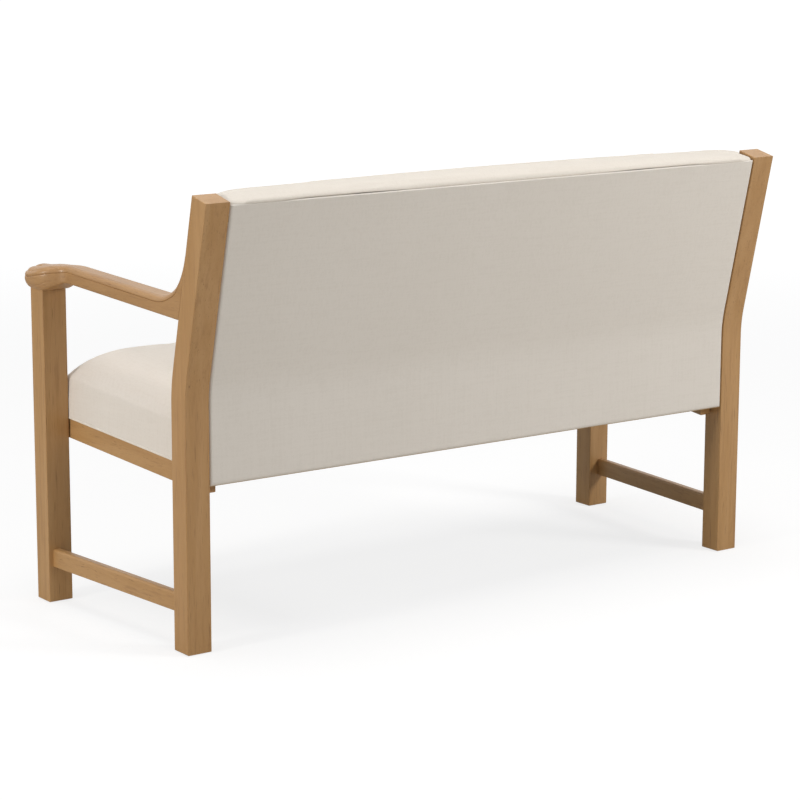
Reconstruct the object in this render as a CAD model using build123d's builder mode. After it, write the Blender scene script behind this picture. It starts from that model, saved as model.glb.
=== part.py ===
from build123d import *
import os
from math import cos, radians, sin, sqrt, tan

os.makedirs("parts", exist_ok=True)

# Overall size, in millimetres. The settle faces -Y and +X is the sitter's left.
front_width = 1390            # over the outer faces of the front legs
side_taper = 34               # each back post stands this much further in than its front leg
leg_run = 499                 # front legs' front faces to the posts' back faces, at the floor
back_height = 832             # front top corner of the posts
joint_gap = 0.1               # round a dowel, tenon or screw in its hole
overrun = 20                  # how far a cutting shape passes the wood it cuts

# Square legs and posts
leg_width = 50                # along X
leg_depth = 47                # along Y
edge_ease = 1.6               # radius that takes off the long edges
rake_angle = 12.8             # lean of the posts above the bend, in degrees
bend_rise = 164.5             # from the seat rails up to where the two straights' middle lines meet
bend_radius = 240             # at the back face of the post
glide_radius = 11
glide_thickness = 4
glide_stand = 1.5             # how much of a glide shows under the leg

# Arms, with their handholds
leg_top_height = 606          # also the underside of the arm, where it meets the post
arm_thickness = 32
arm_pitch = 2.6               # rise of the arm towards the front, in degrees
arm_top_round = 9             # rounding of the upper edges
arm_under_round = 5.5         # rounding of the lower edges
sweep_share = 0.54            # radius of the hollow, of the post's height above the arm
sweep_lip = 1                 # blunt upper end of the sweep
grip_width = 108
grip_front_overhang = 21      # in front of the leg
grip_corner_radius = 45       # of the handhold, seen from above
grip_length = 118             # from the nose back to the shoulders
grip_shoulder_length = 44     # over which the shoulders swell
grip_under_round = 20
grip_step = 0.8               # the handhold stands this much above the arm
flute_radius = 9
flute_depth = 3.4
flute_spacing = 35
flute_length = 62
arm_dowel_radius = 5
arm_dowel_length = 48
arm_dowel_spacing = 22

# Side stretchers
stretcher_bottom = 70
stretcher_height = 35
stretcher_thickness = 18
stretcher_inset = 10          # behind the outer faces of leg and post
stretcher_top_round = 5
tenon_length = 20
tenon_shoulder = 4            # wood left round a tenon
front_tenon_shoulder = 8

# Seat frame
rail_thickness = 25
rail_height = 78
rail_bottom_height = 316.5    # at the back faces of the front legs
seat_slope = 4.1              # fall of the seat to the rear, in degrees
rail_leg_gap = 3              # open line between a side rail and the inner corner of the leg
front_rail_inset = 6          # behind the front faces of the legs
wood_band = 38                # bare wood under the upholstery
rear_rail_bottom = 305
brace_width = 28
brace_height = 42
brace_drop = 14               # below the webbing
block_leg = 62                # along each rail
block_height = 42
block_top_drop = 16           # below the top of the rails
screw_radius = 2.2
screw_head_radius = 4.4
screw_head_height = 3
screw_length = 42
screw_grip = 10               # length of a screw in the rail
screw_offset = 24             # from the inner corner of the frame
screw_rise = 9                # above or below the middle of the block

# Back frame, between the posts
panel_thickness = 3
tack_strip_thickness = 1.5
tack_strip_width = 12
back_frame_thickness = 25
back_rail_height = 62
lower_back_rail_drop = 97     # its lower edge below the posts' bend
stile_width = 38
top_cover_depth = 20          # padding over the top rail
back_seam_drop = 6            # seam of the outside back below the tops of the posts
back_side_gap = 1.5           # between the back upholstery and the post

# Springing and padding
webbing_thickness = 2
webbing_width = 52
seat_web_count = 13
cross_web_count = 4
back_web_count = 3
insulator_thickness = 1
cover_thickness = 2
foam_ease = 0.3               # between the padding and its cover
seat_top_height = 159         # crown of the seat above the underside of the rails
seat_roll_depth = 55          # rolled front edge, front to back
seat_roll_drop = 46           # and how far it falls
seat_shoulder_width = 112     # rounded side edge, seen from the front
seat_side_share = 0.22        # of the padding's height that stands upright at the sides
seat_crown = 5
seat_roll_steps = 5
back_flat_steps = 3
back_side_steps = 6
back_proud = 36               # padding in front of the posts
back_side_tuck = 17           # less than that at the sides
back_nose_radius = 26
back_top_crown = 7
back_tuck_width = 70
back_pad_drop = 4             # top of the padding below the tops of the posts, at the sides
back_bend_radius = 60         # of the padding, where the back starts to lean
back_seat_gap = 1             # between the back padding and the seat
back_flap_inset = 45          # the inside back's fabric turns in behind the padding's front
seat_side_gap = 0.5           # between the seat's fabric and the legs
welt_height = 4.5
welt_thickness = 2.6
dust_cover_thickness = 1
dust_cover_inset = 7            # from the outer faces of the front and rear rails
dust_cover_gap = 0.5          # to the side rails

# Places that follow from the sizes
bend_height = rail_bottom_height + bend_rise
lower_back_rail_bottom = bend_height - lower_back_rail_drop
rake = radians(rake_angle)
pitch = tan(radians(arm_pitch))
fall = tan(radians(seat_slope))
half_depth = leg_depth / 2
top_run = (back_height - bend_height - half_depth * sin(rake)) / cos(rake)
rear_reach = top_run * sin(rake) + half_depth * cos(rake) - half_depth
front_reach = leg_run + grip_front_overhang
back_y = (front_reach - rear_reach) / 2
leg_front_y = back_y - leg_run
leg_back_y = leg_front_y + leg_depth
leg_mid_y = leg_front_y + half_depth
post_front_y = back_y - leg_depth
leg_outer_x = front_width / 2
leg_inner_x = leg_outer_x - leg_width
leg_mid_x = leg_outer_x - leg_width / 2
post_outer_x = leg_outer_x - side_taper
post_inner_x = post_outer_x - leg_width
post_mid_x = post_outer_x - leg_width / 2
side_run = post_front_y - leg_back_y
grip_front_y = leg_front_y - grip_front_overhang


# A point of the posts' shape: inset in front of the back face, up along the rake from the bend
def rake_point(inset, up):
    off = half_depth - inset
    return (
        back_y - half_depth + up * sin(rake) + off * cos(rake),
        bend_height + up * cos(rake) - off * sin(rake),
    )


# The two ends of the bend's arc on the line that lies inset in front of the back face
def bend_ends(inset, radius=bend_radius):
    corner = bend_height + (inset - half_depth) * tan(rake / 2)
    reach = (radius + inset) * tan(rake / 2)
    low = (back_y - inset, corner - reach)
    high = (low[0] + reach * sin(rake), corner + reach * cos(rake))
    return low, high


# Closed outline between two such lines, from a level underside up along the rake
def bent_outline(rear_inset, front_inset, bottom, up):
    rear_low, rear_high = bend_ends(rear_inset)
    front_low, front_high = bend_ends(front_inset)
    Polyline(front_low, (front_low[0], bottom), (rear_low[0], bottom), rear_low)
    TangentArc(rear_low, rear_high, tangent=(0, 1))
    Polyline(rear_high, rake_point(rear_inset, up), rake_point(front_inset, up), front_high)
    TangentArc(front_low, front_high, tangent=(0, 1))


# Front face of the post, above the bend, at a height
def post_face_y(height):
    foot = rake_point(leg_depth, 0)
    return foot[0] + (height - foot[1]) * tan(rake)


# Line between the inner corners of leg and post, moved outwards
def side_x(y, out=0):
    share = (y - leg_back_y) / side_run
    return leg_inner_x + (post_inner_x - leg_inner_x) * share + out


# Height above the sloping underside of the seat rails
def seat_z(y, above=0):
    return rail_bottom_height + above - (y - leg_back_y) * fall


# Outline in side view, of even height above the underside of the seat rails
def seat_strip(low, high, front, rear):
    Polyline(
        (front, seat_z(front, low)), (rear, seat_z(rear, low)),
        (rear, seat_z(rear, high)), (front, seat_z(front, high)), close=True,
    )


def save(builder, label):
    builder.part.label = label
    export_step(builder.part, "parts/" + label + ".step")


# The left one of a pair is built, and the right one is its mirror image
def save_pair(builder, label):
    save(builder, "left_" + label)
    with BuildPart() as twin:
        mirror(builder.part, about=Plane.YZ)
    save(twin, "right_" + label)


# Places that several pieces share
arm_rear_height = leg_top_height
arm_rear_y = post_face_y(arm_rear_height)
arm_lean = (leg_mid_x - post_mid_x) / (arm_rear_y - leg_mid_y)
stretcher_out = leg_width - stretcher_inset - stretcher_thickness / 2
stretcher_mid_height = stretcher_bottom + stretcher_height / 2
front_rail_front_y = leg_front_y + front_rail_inset
front_rail_back_y = front_rail_front_y + rail_thickness
frame_rear_inset = panel_thickness + tack_strip_thickness
frame_front_inset = frame_rear_inset + back_frame_thickness
frame_rear_y = back_y - frame_rear_inset
frame_front_y = back_y - frame_front_inset
front_rail_mid_y = (front_rail_front_y + front_rail_back_y) / 2
frame_mid_y = (frame_rear_y + frame_front_y) / 2
front_tenon_height = rail_height - 2 * front_tenon_shoulder
rear_rail_top = seat_z(frame_rear_y, rail_height)
rear_rail_height = rear_rail_top - rear_rail_bottom
rail_tenon_thickness = rail_thickness / 2
back_top_up = top_run - back_seam_drop
top_rail_up = back_top_up - top_cover_depth
lower_rail_top = lower_back_rail_bottom + back_rail_height
stretcher_tenon_height = stretcher_height - 2 * tenon_shoulder
stretcher_tenon_width = stretcher_thickness - 2 * tenon_shoulder
top_rail_mid = rake_point(
    (frame_rear_inset + frame_front_inset) / 2, top_rail_up - back_rail_height / 2
)
back_tenon_height = back_rail_height - 2 * tenon_shoulder


# Glides, one nailed under each leg
with BuildPart() as glides:
    for x, y in ((leg_mid_x, leg_mid_y), (post_mid_x, back_y - half_depth)):
        for side in (1, -1):
            with BuildSketch(Plane.XY):
                with Locations((side * x, y)):
                    Circle(glide_radius)
            extrude(amount=glide_thickness)
save(glides, "glides")

# Front leg, with a recess for its glide, a mortise for the stretcher and dowel holes on top
with BuildPart() as front_leg:
    with BuildSketch(Plane.XY.offset(glide_stand)):
        with Locations((leg_mid_x, leg_mid_y)):
            Rectangle(leg_width, leg_depth)
    extrude(amount=leg_top_height - glide_stand)
    fillet(front_leg.edges().filter_by(Axis.Z), edge_ease)
    chamfer(front_leg.edges().group_by(Axis.Z)[0], edge_ease / 2)
    with BuildSketch(Plane.XY.offset(glide_stand)):
        with Locations((leg_mid_x, leg_mid_y)):
            Circle(glide_radius + joint_gap)
    extrude(amount=glide_thickness - glide_stand, mode=Mode.SUBTRACT)
    with BuildSketch(Plane.XZ.offset(-leg_back_y)):
        with Locations((side_x(leg_back_y, stretcher_out), stretcher_mid_height)):
            Rectangle(stretcher_tenon_width + 2 * joint_gap, stretcher_tenon_height + 2 * joint_gap)
    extrude(amount=tenon_length + joint_gap, mode=Mode.SUBTRACT)
    with BuildSketch(Plane.YZ.offset(leg_inner_x)):
        with Locations((front_rail_mid_y, seat_z(front_rail_mid_y, rail_height / 2))):
            Rectangle(rail_tenon_thickness + 2 * joint_gap, front_tenon_height + 2 * joint_gap)
    extrude(amount=tenon_length + joint_gap, mode=Mode.SUBTRACT)
    with BuildSketch(Plane.XY.offset(leg_top_height)):
        with Locations((leg_mid_x, leg_mid_y)):
            with GridLocations(arm_dowel_spacing, 0, 2, 1):
                Circle(arm_dowel_radius + joint_gap)
    extrude(amount=-arm_dowel_length / 2 - joint_gap, mode=Mode.SUBTRACT)
save_pair(front_leg, "front_leg")

# Back post, sawn in one piece, upright below and leaning back above the bend
with BuildPart() as back_post:
    with BuildSketch(Plane.YZ.offset(post_inner_x)):
        with BuildLine():
            bent_outline(0, leg_depth, glide_stand, top_run)
        make_face()
    extrude(amount=leg_width)
    fillet(back_post.faces().group_by(Axis.X)[0].edges(), edge_ease)
    fillet(back_post.faces().group_by(Axis.X)[-1].edges(), edge_ease)
    with BuildSketch(Plane.XY.offset(glide_stand)):
        with Locations((post_mid_x, back_y - half_depth)):
            Circle(glide_radius + joint_gap)
    extrude(amount=glide_thickness - glide_stand, mode=Mode.SUBTRACT)
    with BuildSketch(Plane.XZ.offset(-post_front_y)):
        with Locations((side_x(post_front_y, stretcher_out), stretcher_mid_height)):
            Rectangle(stretcher_tenon_width + 2 * joint_gap, stretcher_tenon_height + 2 * joint_gap)
    extrude(amount=-tenon_length - joint_gap, mode=Mode.SUBTRACT)
    with BuildSketch(Plane.YZ.offset(post_inner_x)):
        with Locations((frame_mid_y, rear_rail_bottom + rear_rail_height / 2)):
            Rectangle(
                rail_tenon_thickness + 2 * joint_gap,
                rear_rail_height - 2 * tenon_shoulder + 2 * joint_gap,
            )
        with Locations((frame_mid_y, lower_back_rail_bottom + back_rail_height / 2)):
            Rectangle(rail_tenon_thickness + 2 * joint_gap, back_tenon_height + 2 * joint_gap)
        with Locations(top_rail_mid):
            Rectangle(
                rail_tenon_thickness + 2 * joint_gap, back_tenon_height + 2 * joint_gap,
                rotation=-rake_angle,
            )
    extrude(amount=tenon_length + joint_gap, mode=Mode.SUBTRACT)
    with BuildSketch(Plane.XZ.offset(-arm_rear_y)):
        with Locations((post_mid_x, arm_rear_height + arm_thickness / 2)):
            with GridLocations(arm_dowel_spacing, 0, 2, 1):
                Circle(arm_dowel_radius + joint_gap)
    extrude(amount=-arm_dowel_length / 2 - joint_gap, mode=Mode.SUBTRACT)
save_pair(back_post, "back_post")

# Side stretcher, let into leg and post, with rounded upper edges
with BuildPart() as side_stretcher:
    with BuildSketch(Plane.XY.offset(stretcher_bottom)):
        with BuildLine():
            Polyline(
                (side_x(leg_back_y, stretcher_out + stretcher_thickness / 2), leg_back_y),
                (side_x(post_front_y, stretcher_out + stretcher_thickness / 2), post_front_y),
                (side_x(post_front_y, stretcher_out - stretcher_thickness / 2), post_front_y),
                (side_x(leg_back_y, stretcher_out - stretcher_thickness / 2), leg_back_y),
                close=True,
            )
        make_face()
    extrude(amount=stretcher_height)
    long_edges = side_stretcher.edges().filter_by(lambda e: e.length > side_run - overrun)
    fillet(long_edges.group_by(Axis.Z)[-1], stretcher_top_round)
    fillet(long_edges.group_by(Axis.Z)[0], edge_ease)
    for y, way in ((leg_back_y, 1), (post_front_y, -1)):
        with BuildSketch(Plane.XZ.offset(-y)):
            with Locations((side_x(y, stretcher_out), stretcher_mid_height)):
                Rectangle(stretcher_tenon_width, stretcher_tenon_height)
        extrude(amount=way * tenon_length)
save_pair(side_stretcher, "side_stretcher")


# Middle line of the arm in plan, and the height of its underside
def arm_x(y):
    return leg_mid_x - (y - leg_mid_y) * arm_lean


def arm_under_z(y):
    return arm_rear_height + (arm_rear_y - y) * pitch


# Outline of the handhold seen from above, with its shoulders and round corners
def grip_outline():
    neck = leg_width / 2 - arm_top_round
    half = grip_width / 2
    corner = grip_corner_radius
    for side in (1, -1):
        start = (leg_mid_x + side * neck, shoulder_y)
        wide = (leg_mid_x + side * half, swell_y)
        bow = (
            start[0] + (wide[0] - start[0]) * shoulder_bow_share,
            swell_y + grip_shoulder_length * shoulder_rise_share,
        )
        turn = (wide[0], grip_front_y + corner)
        ThreePointArc(start, bow, wide)
        Line(wide, turn)
        TangentArc(turn, (leg_mid_x + side * (half - corner), grip_front_y), tangent=(0, -1))
    for across, y in ((half - corner, grip_front_y), (neck, shoulder_y)):
        Line((leg_mid_x - across, y), (leg_mid_x + across, y))


# Places along the arm
shoulder_bow_share = 0.66
shoulder_rise_share = 0.74
shoulder_y = grip_front_y + grip_length
swell_y = shoulder_y - grip_shoulder_length
arm_top_z = arm_under_z(shoulder_y) + arm_thickness
grip_top_z = arm_top_z + grip_step
crotch_rise = arm_thickness / (1 + tan(rake) * pitch)
crotch_y = arm_rear_y + crotch_rise * tan(rake) - sweep_lip
crotch_z = arm_rear_height + crotch_rise
sweep_radius = (back_height - crotch_z) * sweep_share
sweep_reach = sweep_radius * tan(radians(90 - rake_angle + arm_pitch) / 2)
sweep_start = (
    crotch_y - sweep_reach * cos(radians(arm_pitch)),
    crotch_z + sweep_reach * sin(radians(arm_pitch)),
)
sweep_end = (crotch_y + sweep_reach * sin(rake), crotch_z + sweep_reach * cos(rake))
sweep_top_z = sweep_end[1]
beyond_y = post_face_y(back_height) + overrun

# Arm: a bar whose top dies up the post in a hollow sweep, and a wide handhold over the leg
with BuildPart() as arm:
    with BuildSketch(Plane.XY.offset(leg_top_height)):
        with BuildLine():
            Polyline(
                *[
                    (arm_x(y) + side * leg_width / 2, y)
                    for side, y in ((1, swell_y), (1, beyond_y), (-1, beyond_y), (-1, swell_y))
                ],
                close=True,
            )
        make_face()
    extrude(amount=back_height - leg_top_height)
    with BuildSketch(Plane.YZ):
        with BuildLine():
            Polyline(
                sweep_start, (shoulder_y, arm_top_z), (swell_y, arm_top_z),
                (swell_y, arm_under_z(swell_y)), (beyond_y, arm_under_z(beyond_y)),
                (beyond_y, back_height), (post_face_y(back_height) - sweep_lip, back_height),
                sweep_end,
            )
            TangentArc(sweep_start, sweep_end, tangent=(1, -pitch))
        make_face()
    extrude(amount=front_width, mode=Mode.INTERSECT)
    for above, round_size in ((True, arm_top_round), (False, arm_under_round)):
        runs = arm.edges().filter_by(lambda e: e.bounding_box().size.Y > overrun)
        fillet(
            runs.filter_by(lambda e: (e.center().Z > arm_under_z(e.center().Y) + overrun) == above),
            round_size,
        )
    with BuildSketch(Plane.YZ):
        with BuildLine():
            Polyline(
                (post_face_y(leg_top_height - overrun), leg_top_height - overrun),
                (post_face_y(sweep_top_z), sweep_top_z),
                (post_face_y(sweep_top_z) - overrun, sweep_top_z),
                (post_face_y(sweep_top_z) - overrun, back_height + overrun),
                (beyond_y + overrun, back_height + overrun),
                (beyond_y + overrun, leg_top_height - overrun), close=True,
            )
        make_face()
    extrude(amount=front_width, mode=Mode.SUBTRACT)

with BuildPart() as grip:
    with BuildSketch(Plane.XY.offset(leg_top_height)):
        with BuildLine():
            grip_outline()
        make_face()
    extrude(amount=grip_top_z - leg_top_height)
    for face, round_size in ((-1, arm_top_round), (0, grip_under_round)):
        rim = grip.faces().sort_by(Axis.Z)[face].edges()
        fillet(rim.filter_by(lambda e: e.center().Y < shoulder_y - sweep_lip), round_size)
    with BuildSketch(Plane.XZ.offset(-grip_front_y)):
        with Locations((leg_mid_x, grip_top_z + flute_radius - flute_depth)):
            with GridLocations(flute_spacing, 0, 2, 1):
                Circle(flute_radius)
    extrude(amount=-flute_length, mode=Mode.SUBTRACT)
    add(arm.part)
    with BuildSketch(Plane.XY.offset(leg_top_height)):
        with Locations((leg_mid_x, leg_mid_y)):
            with GridLocations(arm_dowel_spacing, 0, 2, 1):
                Circle(arm_dowel_radius + joint_gap)
    extrude(amount=arm_dowel_length / 2 + joint_gap, mode=Mode.SUBTRACT)
    with BuildSketch(Plane.XZ.offset(-arm_rear_y - overrun)):
        with Locations((post_mid_x, arm_rear_height + arm_thickness / 2)):
            with GridLocations(arm_dowel_spacing, 0, 2, 1):
                Circle(arm_dowel_radius + joint_gap)
    extrude(amount=arm_dowel_length / 2 + joint_gap + overrun, mode=Mode.SUBTRACT)
save_pair(grip, "arm")

# Dowels of the arm, upright ones into the leg and level ones into the post
with BuildPart() as arm_front_dowels:
    for side in (1, -1):
        with BuildSketch(Plane.XY.offset(leg_top_height)):
            with Locations((side * leg_mid_x, leg_mid_y)):
                with GridLocations(arm_dowel_spacing, 0, 2, 1):
                    Circle(arm_dowel_radius)
        extrude(amount=arm_dowel_length / 2, both=True)
save(arm_front_dowels, "arm_front_dowels")

with BuildPart() as arm_rear_dowels:
    for side in (1, -1):
        with BuildSketch(Plane.XZ.offset(-arm_rear_y)):
            with Locations((side * post_mid_x, arm_rear_height + arm_thickness / 2)):
                with GridLocations(arm_dowel_spacing, 0, 2, 1):
                    Circle(arm_dowel_radius)
        extrude(amount=arm_dowel_length / 2, both=True)
save(arm_rear_dowels, "arm_rear_dowels")


# Inner face of a side rail
def rail_inner_x(y):
    return side_x(y, -rail_leg_gap - rail_thickness)


# Round rods along a direction: from a plane, at a place on it
def rod(plane, place, radius, length, mode):
    with BuildSketch(plane) as end:
        with Locations(place):
            Circle(radius)
    extrude(end.sketch, amount=length, mode=mode)


# Screws of the corner blocks, or the holes for them
def block_screws(grow, mode):
    block_mid = rail_height - block_top_drop - block_height / 2
    head_reach = screw_length - screw_grip
    for side in (1, -1):
        for corner_y, way in ((front_rail_back_y, 1), (frame_front_y, -1)):
            deep_y = corner_y + way * screw_offset
            deep_x = side * (rail_inner_x(corner_y) - screw_offset)
            face_x = side * rail_inner_x(deep_y)
            for plane, place, turn in (
                (
                    Plane.XZ.offset(-corner_y - way * head_reach),
                    (deep_x, seat_z(corner_y, block_mid + screw_rise)), way,
                ),
                (
                    Plane.YZ.offset(face_x - side * head_reach),
                    (deep_y, seat_z(deep_y, block_mid - screw_rise)), side,
                ),
            ):
                rod(plane, place, screw_radius + grow, turn * (screw_length + grow), mode)
                rod(plane, place, screw_head_radius + grow, turn * screw_head_height, mode)
                if grow:
                    rod(plane, place, screw_head_radius + grow, -turn * block_leg, mode)


with BuildPart() as corner_block_screws:
    block_screws(0, Mode.ADD)
save(corner_block_screws, "corner_block_screws")

# Side rail of the seat, just inside leg and post
with BuildPart() as side_seat_rail:
    with BuildSketch(Plane.XY):
        with BuildLine():
            Polyline(
                (side_x(front_rail_back_y, -rail_leg_gap), front_rail_back_y),
                (side_x(frame_front_y, -rail_leg_gap), frame_front_y),
                (rail_inner_x(frame_front_y), frame_front_y),
                (rail_inner_x(front_rail_back_y), front_rail_back_y), close=True,
            )
        make_face()
    extrude(amount=leg_top_height)
    with BuildSketch(Plane.YZ):
        with BuildLine():
            seat_strip(0, rail_height, front_rail_back_y, frame_front_y)
        make_face()
    extrude(amount=front_width, mode=Mode.INTERSECT)
    lower = side_seat_rail.faces().sort_by(Axis.Z)[0].edges()
    fillet(lower.filter_by(lambda e: e.length > side_run), edge_ease)
    block_screws(joint_gap, Mode.SUBTRACT)
save_pair(side_seat_rail, "side_seat_rail")

# Front rail, tenoned into the legs
with BuildPart() as front_seat_rail:
    with BuildSketch(Plane.YZ.offset(-leg_inner_x)):
        with BuildLine():
            seat_strip(0, rail_height, front_rail_front_y, front_rail_back_y)
        make_face()
    extrude(amount=2 * leg_inner_x)
    fillet(front_seat_rail.edges().filter_by(Axis.X).sort_by(Axis.Z)[:2], edge_ease)
    with BuildSketch(Plane.YZ):
        with Locations((front_rail_mid_y, seat_z(front_rail_mid_y, rail_height / 2))):
            Rectangle(rail_tenon_thickness, front_tenon_height)
    extrude(amount=leg_inner_x + tenon_length, both=True)
    block_screws(joint_gap, Mode.SUBTRACT)
save(front_seat_rail, "front_seat_rail")

# Rear rail, tenoned into the posts
with BuildPart() as rear_seat_rail:
    with BuildSketch(Plane.YZ.offset(-post_inner_x)):
        with BuildLine():
            Polyline(
                (frame_front_y, rear_rail_bottom), (frame_rear_y, rear_rail_bottom),
                (frame_rear_y, rear_rail_top), (frame_front_y, seat_z(frame_front_y, rail_height)),
                close=True,
            )
        make_face()
    extrude(amount=2 * post_inner_x)
    with BuildSketch(Plane.YZ):
        with Locations((frame_mid_y, rear_rail_bottom + rear_rail_height / 2)):
            Rectangle(rail_tenon_thickness, rear_rail_height - 2 * tenon_shoulder)
    extrude(amount=post_inner_x + tenon_length, both=True)
    block_screws(joint_gap, Mode.SUBTRACT)
save(rear_seat_rail, "rear_seat_rail")

# Brace across the middle of the seat frame
with BuildPart() as seat_brace:
    brace_top = rail_height - brace_drop
    with BuildSketch(Plane.YZ.offset(-brace_width / 2)):
        with BuildLine():
            seat_strip(brace_top - brace_height, brace_top, front_rail_back_y, frame_front_y)
        make_face()
    extrude(amount=brace_width)
save(seat_brace, "seat_brace")

# Triangular blocks in the four corners of the seat frame
with BuildPart() as corner_blocks:
    for side in (1, -1):
        for corner_y, way in ((front_rail_back_y, 1), (frame_front_y, -1)):
            far_y = corner_y + way * block_leg
            with BuildSketch(Plane.XY):
                with BuildLine():
                    Polyline(
                        (side * rail_inner_x(corner_y), corner_y),
                        (side * (rail_inner_x(corner_y) - block_leg), corner_y),
                        (side * rail_inner_x(far_y), far_y), close=True,
                    )
                make_face()
            extrude(amount=leg_top_height)
    with BuildSketch(Plane.YZ):
        with BuildLine():
            block_top = rail_height - block_top_drop
            seat_strip(block_top - block_height, block_top, front_rail_back_y, frame_front_y)
        make_face()
    extrude(amount=front_width, both=True, mode=Mode.INTERSECT)
    block_screws(joint_gap, Mode.SUBTRACT)
save(corner_blocks, "corner_blocks")

# Upper rail of the back, leaning with the posts
with BuildPart() as top_back_rail:
    with BuildSketch(Plane.YZ.offset(-post_inner_x)):
        with BuildLine():
            Polyline(
                rake_point(frame_rear_inset, top_rail_up),
                rake_point(frame_front_inset, top_rail_up),
                rake_point(frame_front_inset, top_rail_up - back_rail_height),
                rake_point(frame_rear_inset, top_rail_up - back_rail_height), close=True,
            )
        make_face()
    extrude(amount=2 * post_inner_x)
    with BuildSketch(Plane.YZ):
        with Locations(top_rail_mid):
            Rectangle(rail_tenon_thickness, back_tenon_height, rotation=-rake_angle)
    extrude(amount=post_inner_x + tenon_length, both=True)
save(top_back_rail, "top_back_rail")

# Lower rail of the back, just above the seat's rear rail
with BuildPart() as lower_back_rail:
    lower_rail_mid = (frame_mid_y, lower_back_rail_bottom + back_rail_height / 2)
    with BuildSketch(Plane.YZ):
        with Locations(lower_rail_mid):
            Rectangle(back_frame_thickness, back_rail_height)
    extrude(amount=post_inner_x, both=True)
    with BuildSketch(Plane.YZ):
        with Locations(lower_rail_mid):
            Rectangle(rail_tenon_thickness, back_tenon_height)
    extrude(amount=post_inner_x + tenon_length, both=True)
save(lower_back_rail, "lower_back_rail")

# Stiles between the two rails of the back, along the posts and in the middle
stile_up = top_rail_up - back_rail_height
with BuildPart() as back_stile:
    with BuildSketch(Plane.YZ.offset(post_inner_x - stile_width)):
        with BuildLine():
            bent_outline(frame_rear_inset, frame_front_inset, lower_rail_top, stile_up)
        make_face()
    extrude(amount=stile_width)
save_pair(back_stile, "back_stile")

with BuildPart() as back_centre_stile:
    with BuildSketch(Plane.YZ.offset(-stile_width / 2)):
        with BuildLine():
            bent_outline(frame_rear_inset, frame_front_inset, lower_rail_top, stile_up)
        make_face()
    extrude(amount=stile_width)
save(back_centre_stile, "back_centre_stile")

# Strips between the frame and the outside back, along its top and bottom
back_half_width = post_inner_x - back_side_gap
with BuildPart() as tack_strips:
    with BuildSketch(Plane.YZ):
        with BuildLine():
            Polyline(
                rake_point(panel_thickness, top_rail_up),
                rake_point(frame_rear_inset, top_rail_up),
                rake_point(frame_rear_inset, top_rail_up - tack_strip_width),
                rake_point(panel_thickness, top_rail_up - tack_strip_width), close=True,
            )
        make_face()
        with BuildLine():
            Polyline(
                (frame_rear_y, rear_rail_bottom),
                (frame_rear_y + tack_strip_thickness, rear_rail_bottom),
                (frame_rear_y + tack_strip_thickness, rear_rail_bottom + tack_strip_width),
                (frame_rear_y, rear_rail_bottom + tack_strip_width), close=True,
            )
        make_face()
    extrude(amount=back_half_width, both=True)
save(tack_strips, "tack_strips")

# Outside back, a covered board flush with the back faces of the posts
with BuildPart() as outside_back_panel:
    with BuildSketch(Plane.YZ):
        with BuildLine():
            bent_outline(0, panel_thickness, rear_rail_bottom, back_top_up)
        make_face()
    extrude(amount=back_half_width, both=True)
save(outside_back_panel, "outside_back_panel")

# Straps across the back, on the fronts of the stiles, and the sheet over them
web_front_inset = frame_front_inset + webbing_thickness
web_low_up = (bend_radius + leg_depth) * tan(rake / 2) + webbing_width / 2
web_pitch = (stile_up - webbing_width / 2 - web_low_up) / (back_web_count - 1)
with BuildPart() as back_webbing:
    with BuildSketch(Plane.YZ):
        for number in range(back_web_count):
            low = web_low_up + number * web_pitch - webbing_width / 2
            with BuildLine():
                Polyline(
                    rake_point(frame_front_inset, low),
                    rake_point(web_front_inset, low),
                    rake_point(web_front_inset, low + webbing_width),
                    rake_point(frame_front_inset, low + webbing_width), close=True,
                )
            make_face()
    extrude(amount=back_half_width, both=True)
save(back_webbing, "back_webbing")

sheet_front_inset = web_front_inset + insulator_thickness
with BuildPart() as back_insulator:
    with BuildSketch(Plane.YZ):
        with BuildLine():
            bent_outline(web_front_inset, sheet_front_inset, lower_rail_top, top_rail_up)
        make_face()
    extrude(amount=back_half_width, both=True)
save(back_insulator, "back_insulator")

# Straps over the seat frame, front to back and then across them
strap_front_y = front_rail_front_y + webbing_thickness
strap_rear_y = frame_rear_y - webbing_thickness
long_top = rail_height + webbing_thickness
cross_top = long_top + webbing_thickness
deck_top = cross_top + insulator_thickness
strap_span = 2 * rail_inner_x(frame_front_y) - 2 * webbing_width
with BuildPart() as seat_webbing:
    with BuildSketch(Plane.XY):
        with Locations((0, (strap_front_y + strap_rear_y) / 2)):
            with GridLocations(strap_span / (seat_web_count - 1), 0, seat_web_count, 1):
                Rectangle(webbing_width, strap_rear_y - strap_front_y)
    extrude(amount=leg_top_height)
    with BuildSketch(Plane.YZ):
        with BuildLine():
            seat_strip(rail_height, long_top, strap_front_y, strap_rear_y)
        make_face()
    extrude(amount=front_width, both=True, mode=Mode.INTERSECT)
save(seat_webbing, "seat_webbing")

cross_pitch = (frame_front_y - front_rail_back_y) / cross_web_count
with BuildPart() as seat_cross_webbing:
    for number in range(cross_web_count):
        middle_y = front_rail_back_y + (number + 1 / 2) * cross_pitch
        rear_edge_y = middle_y + webbing_width / 2
        with BuildSketch(Plane.YZ):
            with BuildLine():
                seat_strip(long_top, cross_top, middle_y - webbing_width / 2, rear_edge_y)
            make_face()
        extrude(amount=side_x(rear_edge_y, -rail_leg_gap - webbing_thickness), both=True)
save(seat_cross_webbing, "seat_cross_webbing")


# Half the clear width between legs, side lines and posts
def seat_half(y):
    return min(side_x(y), leg_inner_x) - seat_side_gap


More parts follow.
